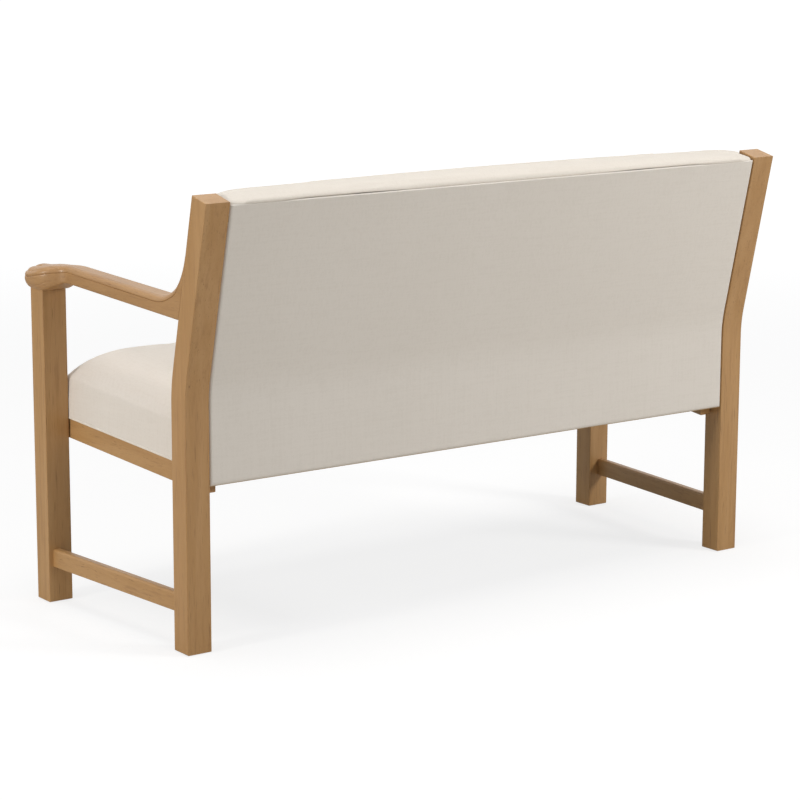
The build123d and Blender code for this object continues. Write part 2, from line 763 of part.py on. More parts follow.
# Flat sheet over or under the seat frame, a little inside its edges
def seat_sheet(low, high, inset, front, rear):
    edge = [(seat_half(y) - rail_leg_gap - inset, y) for y in (front, leg_back_y, rear)]
    with BuildSketch(Plane.XY) as plan:
        with BuildLine():
            Polyline(*edge, *[(-x, y) for x, y in reversed(edge)], close=True)
        make_face()
    extrude(plan.sketch, amount=leg_top_height)
    with BuildSketch(Plane.YZ) as profile:
        with BuildLine():
            seat_strip(low, high, front, rear)
        make_face()
    extrude(profile.sketch, amount=front_width, both=True, mode=Mode.INTERSECT)


pad_rear_y = frame_front_y - webbing_thickness - 2 * insulator_thickness
with BuildPart() as seat_insulator:
    seat_sheet(cross_top, deck_top, webbing_thickness, strap_front_y, pad_rear_y)
save(seat_insulator, "seat_insulator")

# Sheet between the side rails, from the underside of the front rail to that of the rear rail
dust_front_y = front_rail_front_y + dust_cover_inset
dust_rear_y = frame_rear_y - dust_cover_inset
dust_line = [(y, seat_z(y)) for y in (dust_front_y, front_rail_back_y)]
dust_line += [(y, rear_rail_bottom) for y in (frame_front_y, dust_rear_y)]
dust_edge = [(rail_inner_x(y) - dust_cover_gap, y) for y in (dust_front_y, dust_rear_y)]
with BuildPart() as dust_cover:
    with BuildSketch(Plane.XY):
        with BuildLine():
            Polyline(*dust_edge, *[(-x, y) for x, y in reversed(dust_edge)], close=True)
        make_face()
    extrude(amount=leg_top_height)
    with BuildSketch(Plane.YZ):
        with BuildLine():
            Polyline(
                *dust_line, *[(y, z - dust_cover_thickness) for y, z in reversed(dust_line)], close=True
            )
        make_face()
    extrude(amount=front_width, both=True, mode=Mode.INTERSECT)
save(dust_cover, "dust_cover")

# Flat cord along the lower edge of the seat's fabric, on the front and side rails
with BuildPart() as seat_welt:
    for side in (1, -1):
        with BuildSketch(Plane.XY):
            with BuildLine():
                Polyline(
                    *[
                        (side * side_x(y, -rail_leg_gap + out), y)
                        for y, out in (
                            (leg_back_y, 0), (leg_back_y, welt_thickness),
                            (post_front_y, welt_thickness), (post_front_y, 0),
                        )
                    ],
                    close=True,
                )
            make_face()
        extrude(amount=leg_top_height)
    with BuildSketch(Plane.XY):
        with Locations((0, front_rail_front_y - welt_thickness / 2)):
            Rectangle(2 * (leg_inner_x - seat_side_gap), welt_thickness)
    extrude(amount=leg_top_height)
    with BuildSketch(Plane.YZ):
        with BuildLine():
            seat_strip(wood_band, wood_band + welt_height, front_rail_front_y - welt_thickness, post_front_y)
        make_face()
    extrude(amount=front_width, both=True, mode=Mode.INTERSECT)
save(seat_welt, "seat_welt")


# Three points of the seat's round shoulder: its foot, its middle and its top
def seat_shoulder(y, top, half):
    deck = seat_z(y, deck_top)
    foot_z = deck + (top - deck) * seat_side_share
    ease = 1 - sqrt(1 / 2)
    middle = (half - seat_shoulder_width * ease, top - (top - foot_z) * ease)
    return (half, foot_z), middle, (half - seat_shoulder_width, top)


# Section of the seat padding across the settle: upright sides, round shoulders and a crown
def seat_section(y, top, low, half):
    with BuildSketch(Plane.XZ.offset(-y)) as section:
        with BuildLine():
            for side in (1, -1):
                shoulder = [(side * x, z) for x, z in seat_shoulder(y, top, half)]
                Line((side * half, low), shoulder[0])
                ThreePointArc(*shoulder)
            ThreePointArc(
                (seat_shoulder_width - half, top), (0, top + seat_crown), (half - seat_shoulder_width, top)
            )
            Line((-half, low), (half, low))
        make_face()
    return section.sketch


# Seat padding as a body, grown evenly, from a height above the rails' underside
def seat_body(grow, above, front_y, rear_y):
    roll_end_y = front_rail_front_y + seat_roll_depth
    swell = grow - cover_thickness - foam_ease
    stations = []
    for step in range(seat_roll_steps + 1):
        turn = radians(90 * step / seat_roll_steps)
        stations.append((roll_end_y - (roll_end_y - front_y) * cos(turn), seat_roll_drop * (1 - sin(turn))))
    stations += [(post_front_y, 0), (rear_y, 0)]
    sections = [
        seat_section(y, seat_z(y, seat_top_height + swell) - drop, seat_z(y, above), seat_half(y) + swell)
        for y, drop in stations
    ]
    loft(sections=sections, ruled=True)


cover_grow = foam_ease + cover_thickness
with BuildPart() as seat_foam:
    seat_body(0, deck_top, front_rail_front_y, pad_rear_y)
save(seat_foam, "seat_foam")

with BuildPart() as seat_hollow:
    seat_body(foam_ease, 0, front_rail_front_y - foam_ease, pad_rear_y + overrun)

with BuildPart() as seat_cover:
    seat_body(cover_grow, wood_band + welt_height, front_rail_front_y - cover_grow, pad_rear_y)
    add(seat_hollow.part, mode=Mode.SUBTRACT)
    with BuildSketch(Plane.YZ):
        with BuildLine():
            seat_strip(0, rail_height, front_rail_front_y - foam_ease, leg_back_y)
        make_face()
    extrude(amount=leg_inner_x, both=True, mode=Mode.SUBTRACT)
save(seat_cover, "seat_cover")


# Height at x of the arc through three points
def arc_height(x, first, second, third):
    (ax, az), (bx, bz), (cx, cz) = first, second, third
    turn = 2 * (ax * (bz - cz) + bx * (cz - az) + cx * (az - bz))
    squares = ax**2 + az**2, bx**2 + bz**2, cx**2 + cz**2
    middle_x = (squares[0] * (bz - cz) + squares[1] * (cz - az) + squares[2] * (az - bz)) / turn
    middle_z = (squares[0] * (cx - bx) + squares[1] * (ax - cx) + squares[2] * (bx - ax)) / turn
    radius = sqrt((ax - middle_x) ** 2 + (az - middle_z) ** 2)
    return middle_z + sqrt(radius**2 - (x - middle_x) ** 2)


# Underside of the back padding, which follows the seat across the settle
pad_foot_y = post_front_y - back_proud - cover_grow
pad_foot_top = seat_z(pad_foot_y, seat_top_height)
seat_flat = seat_half(pad_foot_y) - seat_shoulder_width


def pad_foot_z(x):
    if x > seat_flat:
        points = seat_shoulder(pad_foot_y, pad_foot_top, seat_half(pad_foot_y))
    else:
        points = (-seat_flat, pad_foot_top), (0, pad_foot_top + seat_crown), (seat_flat, pad_foot_top)
    return arc_height(x, *points) + back_seat_gap


# Section of the back padding at x, grown evenly; a shell is closed by a line inside the padding
def back_section(side, x, grow, sink, shell):
    half = back_half_width - cover_grow + grow
    tuck_turn = max(0, (x - half + back_tuck_width) / back_tuck_width)
    tuck = back_side_tuck * (1 - sqrt(1 - min(1, tuck_turn) ** 2))
    front = leg_depth + back_proud - tuck + grow
    top = top_run - back_pad_drop - cover_grow + grow + back_top_crown * (1 - (x / half) ** 2)
    foot_z = pad_foot_z(min(x, seat_half(pad_foot_y))) - sink
    ease = back_nose_radius * (1 - sqrt(1 / 2))
    low, high = bend_ends(front, back_bend_radius)
    nose = rake_point(front, top - back_nose_radius)
    crest = rake_point(front - back_nose_radius, top)
    if shell:
        inside = back_flap_inset
        steps = [rake_point(0, top), rake_point(0, back_top_up), rake_point(inside, back_top_up)]
    else:
        inside = sheet_front_inset + foam_ease
        rear = frame_rear_inset + foam_ease - grow
        step_up = top_rail_up + foam_ease
        steps = [rake_point(rear, top), rake_point(rear, step_up), rake_point(inside, step_up)]
    inner_low, inner_high = bend_ends(inside, back_bend_radius)
    with BuildSketch(Plane.YZ.offset(side * x)) as section:
        with BuildLine():
            Polyline(inner_low, (inner_low[0], foot_z), (low[0], foot_z), low)
            TangentArc(low, high, tangent=(0, 1))
            Line(high, nose)
            ThreePointArc(nose, rake_point(front - ease, top - ease), crest)
            Polyline(crest, *steps, inner_high)
            TangentArc(inner_low, inner_high, tangent=(0, 1))
        make_face()
    return section.sketch


# Back padding as a body
def back_body(grow, sink, shell):
    half = back_half_width - cover_grow + grow
    places = [seat_flat * step / back_flat_steps for step in range(back_flat_steps + 1)]
    for step in range(1, back_side_steps + 1):
        places.append(seat_flat + (half - seat_flat) * sin(radians(90 * step / back_side_steps)))
    sections = [back_section(-1, x, grow, sink, shell) for x in places[:0:-1]]
    sections += [back_section(1, x, grow, sink, shell) for x in places]
    loft(sections=sections, ruled=True)


with BuildPart() as back_foam:
    back_body(0, 0, False)
save(back_foam, "back_foam")

with BuildPart() as back_hollow:
    back_body(foam_ease, overrun, False)

with BuildPart() as inside_back_cover:
    back_body(cover_grow, 0, True)
    add(back_hollow.part, mode=Mode.SUBTRACT)
save(inside_back_cover, "inside_back_cover")
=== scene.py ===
from math import cos, pi, radians, sin, sqrt, tan
import bpy
from mathutils import Matrix, Vector


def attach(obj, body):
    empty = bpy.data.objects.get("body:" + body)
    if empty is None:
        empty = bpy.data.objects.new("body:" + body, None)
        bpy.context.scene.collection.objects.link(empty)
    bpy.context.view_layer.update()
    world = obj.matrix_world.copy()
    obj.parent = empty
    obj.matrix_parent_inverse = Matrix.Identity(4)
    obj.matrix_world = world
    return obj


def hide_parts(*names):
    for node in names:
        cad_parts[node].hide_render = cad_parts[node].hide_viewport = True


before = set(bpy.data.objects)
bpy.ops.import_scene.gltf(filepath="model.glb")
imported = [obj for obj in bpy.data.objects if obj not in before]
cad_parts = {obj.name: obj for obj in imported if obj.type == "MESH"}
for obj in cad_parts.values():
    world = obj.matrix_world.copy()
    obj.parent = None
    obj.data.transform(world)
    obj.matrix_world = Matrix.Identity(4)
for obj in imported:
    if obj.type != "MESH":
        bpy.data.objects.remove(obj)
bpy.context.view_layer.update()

print("frame loaded")

mm = 0.001


# Small tools for working as by hand

def deselectAll():
    if bpy.context.mode != "OBJECT":
        bpy.ops.object.mode_set(mode="OBJECT")
    bpy.ops.object.select_all(action="DESELECT")


def takeUp(piece):
    deselectAll()
    piece.select_set(True)
    bpy.context.view_layer.objects.active = piece


def editAll(piece):
    takeUp(piece)
    bpy.ops.object.mode_set(mode="EDIT")
    bpy.ops.mesh.select_mode(type="VERT")
    bpy.ops.mesh.select_all(action="SELECT")


def leaveEdit():
    bpy.ops.object.mode_set(mode="OBJECT")


def smoothBy(piece, angle):
    takeUp(piece)
    bpy.ops.object.shade_smooth_by_angle(angle=radians(angle))


def addModifier(piece, kind, **settings):
    takeUp(piece)
    modifier = piece.modifiers.new(kind.lower(), kind)
    for name, value in settings.items():
        setattr(modifier, name, value)
    bpy.ops.object.modifier_apply(modifier=modifier.name)


def easeIn(value, low, high):   # 0 at low, 1 at high, level at both ends
    share = min(1, max(0, (value - low) / (high - low)))
    return share * share * (3 - 2 * share)


def between(low, high, count):
    return [low + (high - low) * step / count for step in range(count + 1)]


# A grid laid over rows of points in millimetres, closed where its edges meet
def skin(name, rows):
    deselectAll()
    bpy.ops.mesh.primitive_grid_add(x_subdivisions=len(rows[0]) - 1, y_subdivisions=len(rows) - 1, size=1)
    piece = bpy.context.object
    piece.name = name
    for vertex, point in zip(piece.data.vertices, [point for row in rows for point in row]):
        vertex.co = Vector(point) * mm
    editAll(piece)
    bpy.ops.mesh.remove_doubles(threshold=0.00002)
    bpy.ops.mesh.fill_holes(sides=0)
    bpy.ops.mesh.select_all(action="SELECT")
    bpy.ops.mesh.normals_make_consistent(inside=False)
    leaveEdit()
    return piece


def mirrorCopy(piece, name):
    takeUp(piece)
    bpy.ops.object.duplicate()
    twin = bpy.context.object
    twin.name = name
    editAll(twin)
    bpy.ops.transform.resize(value=(-1, 1, 1), center_override=(0, 0, 0))
    bpy.ops.mesh.normals_make_consistent(inside=False)
    leaveEdit()
    return twin


def finishPiece(piece, material, slot, *nodes):
    piece.data.materials.clear()
    piece.data.materials.append(material)
    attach(piece, "root")
    if nodes:
        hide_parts(*nodes)


# Shader maths: a socket that is used in sums like a number

class Signal:
    def __init__(self, finish, socket):
        self.finish, self.socket = finish, socket

    def work(self, operation, *parts):
        return self.finish.add("ShaderNodeMath", {"operation": operation}, dict(enumerate(parts)))

    def __add__(self, other):
        return self.work("ADD", self, other)

    def __radd__(self, other):
        return self.work("ADD", other, self)

    def __sub__(self, other):
        return self.work("SUBTRACT", self, other)

    def __rsub__(self, other):
        return self.work("SUBTRACT", other, self)

    def __mul__(self, other):
        return self.work("MULTIPLY", self, other)

    def __rmul__(self, other):
        return self.work("MULTIPLY", other, self)

    def __truediv__(self, other):
        return self.work("DIVIDE", self, other)

    def __rtruediv__(self, other):
        return self.work("DIVIDE", other, self)

    def __pow__(self, other):
        return self.work("POWER", self, other)

    def __abs__(self):
        return self.work("ABSOLUTE", self)

    def sine(self):
        return self.work("SINE", self)

    def within(self, low, high):
        sockets = {"Value": self, "From Min": low, "From Max": high}
        return self.finish.add("ShaderNodeMapRange", {"interpolation_type": "SMOOTHSTEP"}, sockets)


class Finish:   # one material and its nodes
    def __init__(self, name):
        self.material = bpy.data.materials.new(name)
        self.material.use_nodes = True
        self.tree = self.material.node_tree
        self.tree.nodes.clear()

    def add(self, kind, settings=None, sockets=None, out=0):
        node = self.tree.nodes.new(kind)
        for name, value in (settings or {}).items():
            setattr(node, name, value)
        for name, value in (sockets or {}).items():
            if isinstance(value, Signal):
                self.tree.links.new(value.socket, node.inputs[name])
            else:
                node.inputs[name].default_value = value
        return Signal(self, node.outputs[out]) if len(node.outputs) else node

    def blend(self, factor, first, second):
        sockets = {0: factor, 6: first, 7: second}
        return self.add("ShaderNodeMix", {"data_type": "RGBA"}, sockets, 2)

    def cloud(self, where, scale, detail=2.0, rough=0.5, warp=0.0):
        sockets = {"Vector": where, "Scale": scale, "Detail": detail, "Roughness": rough, "Distortion": warp}
        return self.add("ShaderNodeTexNoise", None, sockets)

    def place(self, stretch=(1, 1, 1), shift=(0, 0, 0)):
        here = self.add("ShaderNodeTexCoord", None, None, "Object")
        return self.add("ShaderNodeMapping", None, {"Vector": here, "Location": shift, "Scale": stretch})

    def axes(self, where):
        first = self.add("ShaderNodeSeparateXYZ", None, {0: where})
        return [Signal(self, socket) for socket in first.socket.node.outputs]

    def bump(self, height, distance, strength=1.0):
        return self.add("ShaderNodeBump", None, {"Height": height, "Distance": distance, "Strength": strength})

    def done(self, sockets):
        shader = self.add("ShaderNodeBsdfPrincipled", None, sockets)
        self.add("ShaderNodeOutputMaterial", None, {"Surface": shader})
        return self.material


def paint(code):   # a colour written as on a paint card, made linear
    parts = [int(code[place:place + 2], 16) / 255 for place in (0, 2, 4)]
    return tuple(part / 12.92 if part < 0.04045 else ((part + 0.055) / 1.055) ** 2.4 for part in parts) + (1,)


# Camera, at the height and distance from which the settle is seen

cameraPlace = {
    "place": (3.00857, 4.11917, 1.39707),
    "turn": -0.625,      # towards -X, from looking along -Y
    "dip": 0.2017,
    "roll": 0.003,
    "lens": 119.0,
}


def makeCamera():
    turn, dip, roll = cameraPlace["turn"], cameraPlace["dip"], cameraPlace["roll"]
    ahead = Vector((sin(turn) * cos(dip), -cos(turn) * cos(dip), -sin(dip)))
    right = ahead.cross(Vector((0, 0, 1))).normalized()
    up = right.cross(ahead)
    right, up = cos(roll) * right + sin(roll) * up, cos(roll) * up - sin(roll) * right
    bpy.ops.object.camera_add()
    camera = bpy.context.object
    camera.name = "camera"
    camera.data.lens = cameraPlace["lens"]
    camera.data.sensor_width = 36
    camera.data.clip_end = 200
    camera.matrix_world = Matrix((right, up, -ahead)).transposed().to_4x4()
    camera.location = cameraPlace["place"]
    bpy.context.scene.camera = camera


deselectAll()
makeCamera()
print("camera placed")


# Floor, room and lamps

room = {
    "floorSize": 80,
    "floorTone": "CFCBC4",
    "floorGlow": (0.76, 0.97),    # near the settle, and far from it
    "floorShade": 0.27,           # share of real light on the floor that the camera sees
    "roomLight": (0.95, 0.97, 1.0, 1),
    "roomStrength": 0.36,
}
lamps = {   # name: place, aim, width, watts, colour
    "overhead": ((0.4, 0.1, 3.6), (0, 0, 0.4), 2.4, 61, (1.0, 0.985, 0.965)),
    "side": ((4.2, 0.35, 1.25), (0.3, -0.1, 0.5), 0.55, 56, (1.0, 0.98, 0.955)),
    "rear": ((-2.3, 2.9, 2.0), (-0.2, 0.2, 0.6), 1.0, 62, (1.0, 0.98, 0.96)),
}


def makeFloor():
    bpy.ops.mesh.primitive_plane_add(size=room["floorSize"])
    floor = bpy.context.object
    floor.name = "floor"
    finish = Finish("floorPaper")
    rays = finish.add("ShaderNodeLightPath", None, None, "Is Camera Ray")
    grain = finish.cloud(finish.place(), 220)
    tone = finish.blend(grain * 0.06, paint(room["floorTone"]), paint("DAD7D0"))
    plain = finish.add("ShaderNodeBsdfDiffuse", None, {"Color": tone})
    seen = finish.add("ShaderNodeBsdfDiffuse", None, {"Color": (room["floorShade"],) * 3 + (1,)})
    away = finish.add("ShaderNodeVectorMath", {"operation": "LENGTH"}, {0: finish.place()}, "Value").within(1.2, 7)
    near, far = room["floorGlow"]
    glow = finish.add("ShaderNodeEmission", None, {"Color": (1, 1, 1, 1), "Strength": near + away * (far - near)})
    lit = finish.add("ShaderNodeAddShader", None, {0: seen, 1: glow})
    final = finish.add("ShaderNodeMixShader", None, {0: rays, 1: plain, 2: lit})
    finish.add("ShaderNodeOutputMaterial", None, {"Surface": final})
    floor.data.materials.append(finish.material)


def makeRoom():
    scene = bpy.context.scene
    scene.view_settings.view_transform = "Standard"
    world = bpy.data.worlds.new("room")
    scene.world = world
    world.use_nodes = True
    finish = Finish.__new__(Finish)
    finish.tree = world.node_tree
    finish.tree.nodes.clear()
    rays = finish.add("ShaderNodeLightPath")
    seen = [Signal(finish, rays.socket.node.outputs[name]) for name in (
        "Is Camera Ray", "Is Glossy Ray", "Is Transmission Ray")]
    white = seen[0].work("MAXIMUM", seen[0], seen[1].work("MAXIMUM", seen[1], seen[2]))
    soft = finish.add("ShaderNodeBackground", None, {"Color": room["roomLight"], "Strength": room["roomStrength"]})
    bright = finish.add("ShaderNodeBackground", None, {"Color": (1, 1, 1, 1), "Strength": 1.0})
    final = finish.add("ShaderNodeMixShader", None, {0: white, 1: soft, 2: bright})
    finish.add("ShaderNodeOutputWorld", None, {"Surface": final})


def makeLamps():
    for name, (place, aim, width, watts, colour) in lamps.items():
        bpy.ops.object.light_add(type="AREA", location=place)
        lamp = bpy.context.object
        lamp.name = name + "Lamp"
        lamp.data.size = width
        lamp.data.energy = watts
        lamp.data.color = colour
        lamp.rotation_euler = (Vector(aim) - Vector(place)).to_track_quat("-Z", "Y").to_euler()


makeFloor()
makeRoom()
makeLamps()
print("room and lamps ready")


# Timber

timber = {
    "light": "BC9361",
    "middle": "B08652",
    "dark": "936940",
    "pore": "6E4C2C",
    "runLength": 0.055,       # how much the pattern is drawn out along the grain
}


def makeTimber(name, grain, shift=(0, 0, 0), pale=0.0, deep=0.0):
    finish = Finish(name)
    run = timber["runLength"]
    stretch = [run if axis == grain else 1 for axis in "XYZ"]
    where = finish.place(stretch, shift)
    sway = finish.cloud(where, 9, 3)
    wide = finish.cloud(where, 38, 3, 0.55, 0.6)
    rays = finish.cloud(where, 150, 4, 0.6, 0.2)
    fibre = finish.cloud(where, 900, 2, 0.6)
    poreWhere = finish.place([run * 0.55 if axis == grain else 1 for axis in "XYZ"], shift)
    pores = finish.cloud(poreWhere, 620, 1.5, 0.5).within(0.66, 0.74)
    tone = finish.blend(wide.within(0.30, 0.72), paint(timber["middle"]), paint(timber["light"]))
    tone = finish.blend(rays.within(0.50, 0.78) * 0.62, tone, paint(timber["dark"]))
    tone = finish.blend(sway.within(0.35, 0.75) * 0.28, tone, paint("A57B4C"))
    tone = finish.blend(fibre.within(0.35, 0.8) * 0.20, tone, paint(timber["dark"]))
    tone = finish.blend(pores * 0.55, tone, paint(timber["pore"]))
    if pale:
        tone = finish.blend(pale, tone, paint("D9BF97"))
    # deep darkens the whole piece towards the dark tone: painted shade, used on the arms
    if deep:
        tone = finish.blend(deep, tone, paint(timber["dark"]))
    rough = 0.40 + fibre * 0.12 + pores * 0.14
    height = fibre * 0.35 + rays * 0.3 - pores * 0.9
    return finish.done({
        "Base Color": tone, "Roughness": rough, "Normal": finish.bump(height, 0.00012),
        "Coat Weight": 0.22, "Coat Roughness": 0.22, "IOR": 1.48,
    })


uprightTimber = makeTimber("uprightTimber", "Z")
postTimber = makeTimber("postTimber", "Z", (0.31, 0.17, 0.0))
deepTimber = makeTimber("deepTimber", "Y", (0.0, 0.4, 0.23))
# the arms get the same timber painted darker as a whole: painted shade standing in for less light on them
shadedArmTimber = makeTimber("shadedArmTimber", "Y", (0.13, 0.0, 0.51), deep=0.25)
longTimber = makeTimber("longTimber", "X", (0.0, 0.27, 0.41))
rawUpright = makeTimber("rawUpright", "Z", (0.7, 0.3, 0), 0.55)
rawLong = makeTimber("rawLong", "X", (0, 0.6, 0.2), 0.55)


# Cloth with a fine plain weave, on whichever two directions a face lies in

cloth = {
    "pitch": 0.00105,         # from thread to thread
    "seat": ("EBE4DB", "DCD3C7"),
    "back": ("E6DFD5", "D6CDC0"),
    "outside": ("E5DFD7", "D5CEC4"),
}


def makeCloth(name, pale, deep, pitch=None, shift=(0, 0, 0), contrast=1.0, rough=0.86, depth=0.00022):
    finish = Finish(name)
    where = finish.place((1, 1, 1), shift)
    sway = finish.cloud(where, 70, 2)
    turns = pi / (pitch or cloth["pitch"])
    waves = [(part * turns + sway * 1.4).sine() for part in finish.axes(where)]
    facing = finish.add("ShaderNodeNewGeometry", None, None, "Normal")
    facing = [abs(part) ** 4 for part in finish.axes(facing)]
    total = facing[0] + facing[1] + facing[2]
    crossing = (
        facing[2] * (waves[0] * waves[1]) + facing[1] * (waves[0] * waves[2]) + facing[0] * (waves[1] * waves[2])
    ) / total
    thread = abs(crossing)
    over = crossing.within(-0.25, 0.25)
    slubs = [finish.cloud(finish.place(stretch, shift), 260, 2, 0.6) for stretch in (
        (0.06, 1, 1), (1, 1, 0.06), (1, 0.06, 1))]
    slub = (slubs[0] + slubs[1] + slubs[2]) / 3
    patch = finish.cloud(where, 5, 3)
    tone = finish.blend((1 - thread) * 0.32 * contrast, paint(pale), paint(deep))
    tone = finish.blend(over * 0.14 * contrast, tone, paint(deep))
    tone = finish.blend(slub.within(0.44, 0.64) * 0.32 * contrast, tone, paint(deep))
    tone = finish.blend(patch.within(0.3, 0.7) * 0.10, tone, paint(deep))
    height = thread + over * 0.25 + slub.within(0.4, 0.65) * 0.5
    return finish.done({
        "Base Color": tone, "Roughness": rough, "Normal": finish.bump(height, depth, 0.6),
        "Sheen Weight": 0.12, "Sheen Roughness": 0.5, "Specular IOR Level": 0.25,
    })


seatCloth = makeCloth("seatCloth", *cloth["seat"])
backCloth = makeCloth("backCloth", *cloth["back"], shift=(0.2, 0.1, 0.3))
outsideCloth = makeCloth("outsideCloth", *cloth["outside"], shift=(0.5, 0.2, 0.1))
# the welt's cloth is the seat's cloth made paler: a painted highlight along the cord
weltHighlightCloth = makeCloth("weltHighlightCloth", "F1EBE0", "DED4C4", pitch=0.0008, shift=(0.1, 0.7, 0.2))
juteWeb = makeCloth("juteWeb", "C9A877", "8F6E42", pitch=0.0024, contrast=1.6, rough=0.9, depth=0.0006)
frameFelt = makeCloth("frameFelt", "D9D4C8", "B7B0A2", pitch=0.0016, contrast=1.3, rough=0.95)
dustCloth = makeCloth("dustCloth", "3A3936", "232220", pitch=0.0012, contrast=1.4, rough=0.93)


def makeCard():
    finish = Finish("tackCard")
    where = finish.place()
    fleck = finish.cloud(where, 800, 2)
    tone = finish.blend(fleck.within(0.35, 0.7), paint("B59E7C"), paint("96805F"))
    return finish.done({"Base Color": tone, "Roughness": 0.85, "Normal": finish.bump(fleck, 0.0001)})


def makeSteel():
    finish = Finish("screwSteel")
    brush = finish.cloud(finish.place((1, 1, 0.1)), 900, 3)
    tone = finish.blend(brush, paint("B9B6AE"), paint("8D8A83"))
    return finish.done({"Base Color": tone, "Metallic": 1.0, "Roughness": 0.28 + brush * 0.2})


def makeGlide():
    finish = Finish("glidePlastic")
    speck = finish.cloud(finish.place(), 1400, 2)
    scuff = finish.cloud(finish.place(), 160, 3).within(0.5, 0.75)
    tone = finish.blend(scuff, paint("4A443C"), paint("6A6258"))
    return finish.done({
        "Base Color": tone, "Roughness": 0.45 + scuff * 0.2, "Normal": finish.bump(speck, 0.00006),
    })


nodeFinish = {
    "left_front_leg": uprightTimber, "right_front_leg": uprightTimber,
    "left_back_post": postTimber, "right_back_post": postTimber,
    "left_side_stretcher": deepTimber, "right_side_stretcher": deepTimber,
    "left_side_seat_rail": deepTimber, "right_side_seat_rail": deepTimber,
    "front_seat_rail": longTimber,
    "rear_seat_rail": rawLong, "seat_brace": deepTimber, "corner_blocks": rawLong,
    "top_back_rail": rawLong, "lower_back_rail": rawLong,
    "left_back_stile": rawUpright, "right_back_stile": rawUpright, "back_centre_stile": rawUpright,
    "arm_front_dowels": rawUpright, "arm_rear_dowels": rawLong,
    "tack_strips": makeCard(), "corner_block_screws": makeSteel(), "glides": makeGlide(),
    "back_webbing": juteWeb, "seat_webbing": juteWeb, "seat_cross_webbing": juteWeb,
    "back_insulator": frameFelt, "seat_insulator": frameFelt, "dust_cover": dustCloth,
}
for name, material in nodeFinish.items():
    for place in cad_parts[name].material_slots:
        place.material = material
print("materials ready")


# Lines of the frame that the arms and the upholstery follow, in millimetres

line = {
    "postX": 636, "armLean": 18 / 418.8, "armPitch": radians(2.6), "rake": radians(12.8),
    "backY": 221.011, "halfDepth": 23.5, "bendZ": 481, "bendRadius": 240,
    "armRearY": 201.81, "armRearZ": 606, "seatFall": 0.07168, "seatZ": 316.5, "legBackY": -230.989,
    "legInnerX": 645, "sideTaper": 34, "sideRun": 405, "clear": 0.5,
}


def rakePoint(inset, up):
    off, lean = line["halfDepth"] - inset, line["rake"]
    return (
        line["backY"] - line["halfDepth"] + up * sin(lean) + off * cos(lean),
        line["bendZ"] + up * cos(lean) - off * sin(lean),
    )


def bendPoints(inset, radius, count):   # along the bend, from upright to the rake
    lean = line["rake"]
    corner = line["bendZ"] + (inset - line["halfDepth"]) * tan(lean / 2)
    reach = (radius + inset) * tan(lean / 2)
    middle = (line["backY"] - inset + radius + inset, corner - reach)
    full = radius + inset
    return [
        (middle[0] - full * cos(turn), middle[1] + full * sin(turn)) for turn in between(0, lean, count)
    ]


def seatZ(y, above=0):
    return line["seatZ"] + above - (y - line["legBackY"]) * line["seatFall"]


def sideX(y):   # inner side of leg and post, and the line between them
    return line["legInnerX"] - line["sideTaper"] * (y - line["legBackY"]) / line["sideRun"]


def seatHalf(y):
    return min(sideX(y), line["legInnerX"]) - line["clear"]


# Arms, each from one grid: the outline from post to post round the handhold, by the moulded profile

arm = {
    "half": 25, "taper": 5 / 418.8, "gripHalf": 41.5, "gripY": -258, "gripRadius": 41, "thickness": 32,
    "topZ": 657.02, "shoulderY": -216.989, "gripZ": 606, "gripSag": 2.5,
    "sweepCentre": (125.15, 746.5), "sweepRadius": 104.9, "sweepLip": 1.0,
    "barRun": (118, -170), "gripRows": (-248, -254), "drawnTo": -252,
    "blend": (180, 226), "sagRun": (225, 330), "sagRise": (16, 20),   # from bar to handhold, as distances in front
    "rise": (180, 228), "riseSpread": (15, 42), "riseOver": 20,
    "fluteX": 15.5, "fluteWidth": 6, "fluteDepth": 4.6, "fluteRise": (31, 37), "fluteStart": 240, "fluteRun": 18,
    "fluteEdge": 1.2, "swell": 0.8, "swellRun": (235, 260), "swellRise": (33, 42),
    "mouldRise": 13, "mouldInset": 9, "mouldLeft": 0.02,   # lower part of the profile, where the sweep meets the post
}
# where the neck swells into the handhold: y, middle and half width
neckShape = [
    (-240, 670, 41.5), (-230, 670, 41.2), (-222, 669.7, 40), (-215, 668.8, 37.8),
    (-209, 667.3, 35), (-204, 665.4, 32.2), (-200, 663.2, 29.6), (-196, 660.6, 27),
    (-192, 658, 24.8), (-188, 656, 23), (-183, 654, 21.6), (-176, 652.24, 20.5),
]
# the bar's inset and rise, then the handhold's, from the middle of the underside up to the flat of the top
armProfile = [
    (25, 0, 41.5, 0), (19, 0, 35, 0), (14, 0, 28, 0), (9, 0, 21.5, 0), (5.5, 0, 17, 0), (3.6, 0.35, 14.2, 0.3),
    (2.4, 0.9, 11.4, 1.1), (1.4, 1.7, 9, 2.3), (0.8, 2.6, 7.3, 3.4), (0.4, 3.6, 6.6, 4),
    (0.1, 4.6, 6.8, 4.5), (0, 5.5, 5.4, 5.1), (0, 6.6, 4.4, 6.4), (0, 7.7, 3.7, 7.5), (0, 8.8, 4, 8),
    (0, 10, 2.9, 8.6), (0, 11.5, 1.9, 10.5), (0, 13, 1, 13), (0, 14.5, 0.4, 15.8), (0, 16, 0.1, 18.4),
    (0, 18, 0, 21), (0, 20.2, 0.3, 23), (0, 20.8, 0.6, 23.6), (1.3, 21.4, 2.2, 24.2), (0.1, 22.1, 0.9, 24.9),
    (0.15, 24, 0.6, 26.8), (0.8, 26, 0.8, 28.8), (1.8, 28, 1.6, 30.8), (3.4, 29.8, 3.2, 32.6),
    (5.5, 31, 5.2, 33.4), (7.7, 31.4, 5.6, 34.8), (9.6, 31.5, 6.9, 36.6), (10.2, 32, 8.8, 38.4),
]
armProfile += [
    (10.2 + 14.8 * share, 32, 8.8 + 32.7 * share, 44 - 5.6 * (1 - min(1, 1.8 * share)) ** 2)
    for share in between(0, 1, 26)[1:]
]


